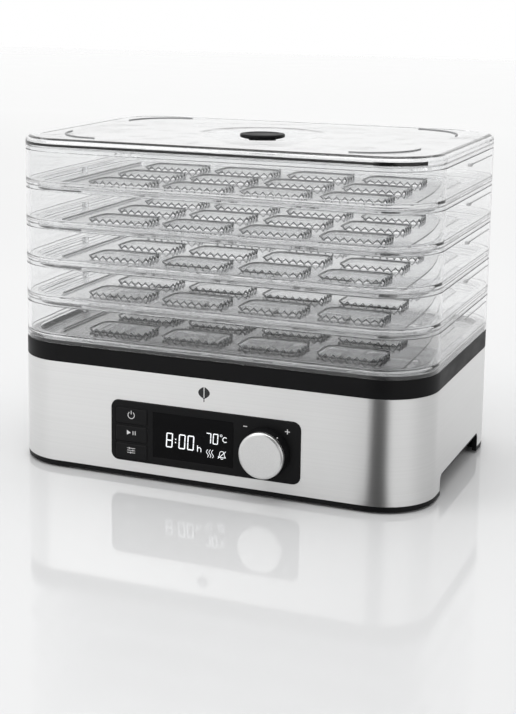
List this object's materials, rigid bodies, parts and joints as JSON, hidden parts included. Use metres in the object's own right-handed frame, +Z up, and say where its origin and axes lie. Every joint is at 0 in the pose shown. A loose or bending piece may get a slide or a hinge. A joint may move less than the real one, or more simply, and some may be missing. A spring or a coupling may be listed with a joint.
{
  "type": "food dehydrator",
  "caption": "Countertop food dehydrator: steel-sleeved base with display, buttons and dial, a stack of clear drying trays, and a clear lid with a round knob.",
  "frame": {"origin": "under the middle of the whole footprint, knob and cord gland included, on the surface that the feet stand on", "axes": "+Z up, +X to the right along the long side, -Y towards the control panel"},
  "size_m": [0.325, 0.234, 0.2508],
  "materials": {
    "black_plastic": "fine satin",
    "fascia_plastic": "satin",
    "brushed_steel": "brushed along its length",
    "duct_plastic": "heat-resistant, matte",
    "reflector_metal": "rolled",
    "element_sheath": "heat-tinted",
    "mica": "flaky sheet",
    "zinc_steel": "zinc plated",
    "ceramic_white": "unglazed",
    "sensor_black": "moulded",
    "motor_metal": "plated",
    "rubber": "matte",
    "circuit_board": "solder mask",
    "relay_case": "moulded",
    "capacitor_case": "epoxy",
    "transformer_core": "varnished",
    "terminal_green": "moulded",
    "display_glass": "smoked, glossy",
    "display_black": "glossy",
    "readout": "lit",
    "knob_silver": "satin silver",
    "clear_plastic": "clear moulded"
  },
  "bodies": {
    "base": {"base_housing": "black_plastic", "top_bezel": "black_plastic", "bottom_cover": "black_plastic", "cord_gland": "black_plastic", "control_fascia": "fascia_plastic", "steel_sleeve": "brushed_steel", "fan_grille": "duct_plastic", "fan_shroud": "duct_plastic", "heat_shield": "reflector_metal", "heating_element": "element_sheath", "heater_frame": "mica", "heater_standoffs": "zinc_steel", "element_clips": "zinc_steel", "motor_bracket": "zinc_steel", "motor_screws": "zinc_steel", "shroud_screws": "zinc_steel", "bezel_screws": "zinc_steel", "cover_screws": "zinc_steel", "board_screws": "zinc_steel", "fascia_screws": "zinc_steel", "thermal_fuse": "ceramic_white", "temperature_sensor": "sensor_black", "button_switches": "sensor_black", "fan_motor": "motor_metal", "rotary_encoder": "motor_metal", "rubber_feet": "rubber", "power_board": "circuit_board", "control_board": "circuit_board", "power_relay": "relay_case", "filter_capacitor": "capacitor_case", "transformer": "transformer_core", "terminal_block": "terminal_green", "display_lens": "display_glass", "display_module": "display_black", "display_readout": "readout"},
    "fan": {"fan_impeller": "duct_plastic", "motor_shaft": "zinc_steel", "fan_nut": "zinc_steel"},
    "dial": {"knob_cap": "knob_silver", "knob_body": "fascia_plastic", "encoder_shaft": "zinc_steel"},
    "power_button": {"power_button": "fascia_plastic"},
    "start_button": {"start_button": "fascia_plastic"},
    "set_button": {"set_button": "fascia_plastic"},
    "tray_1": {"tray_1": "clear_plastic"},
    "tray_2": {"tray_2": "clear_plastic"},
    "tray_3": {"tray_3": "clear_plastic"},
    "tray_4": {"tray_4": "clear_plastic"},
    "tray_5": {"tray_5": "clear_plastic"},
    "lid": {"lid": "clear_plastic", "lid_knob": "fascia_plastic", "lid_knob_screw": "zinc_steel"}
  },
  "joints": [
    {"name": "fan_spin", "type": "hinge", "parent": "base", "child": "fan", "pos_m": [0, 0.00555, 0.078], "axis": [0, 0, 1], "continuous": true},
    {"name": "dial_turn", "type": "hinge", "parent": "base", "child": "dial", "pos_m": [0.0488, -0.10945, 0.0345], "axis": [0, -1, 0], "continuous": true},
    {"name": "power_press", "type": "slide", "parent": "base", "child": "power_button", "axis": [0, 1, 0], "range_m": [0, 0.0008], "stiffness_N_per_m": 800, "springref_m": -0.0004},
    {"name": "start_press", "type": "slide", "parent": "base", "child": "start_button", "axis": [0, 1, 0], "range_m": [0, 0.0008], "stiffness_N_per_m": 800, "springref_m": -0.0004},
    {"name": "set_press", "type": "slide", "parent": "base", "child": "set_button", "axis": [0, 1, 0], "range_m": [0, 0.0008], "stiffness_N_per_m": 800, "springref_m": -0.0004},
    {"name": "tray_1_lift", "type": "slide", "parent": "base", "child": "tray_1", "axis": [0, 0, 1], "range_m": [0, 0.05]},
    {"name": "tray_2_lift", "type": "slide", "parent": "tray_1", "child": "tray_2", "axis": [0, 0, 1], "range_m": [0, 0.05]},
    {"name": "tray_3_lift", "type": "slide", "parent": "tray_2", "child": "tray_3", "axis": [0, 0, 1], "range_m": [0, 0.05]},
    {"name": "tray_4_lift", "type": "slide", "parent": "tray_3", "child": "tray_4", "axis": [0, 0, 1], "range_m": [0, 0.05]},
    {"name": "tray_5_lift", "type": "slide", "parent": "tray_4", "child": "tray_5", "axis": [0, 0, 1], "range_m": [0, 0.05]},
    {"name": "lid_lift", "type": "slide", "parent": "tray_5", "child": "lid", "axis": [0, 0, 1], "range_m": [0, 0.05]}
  ]
}
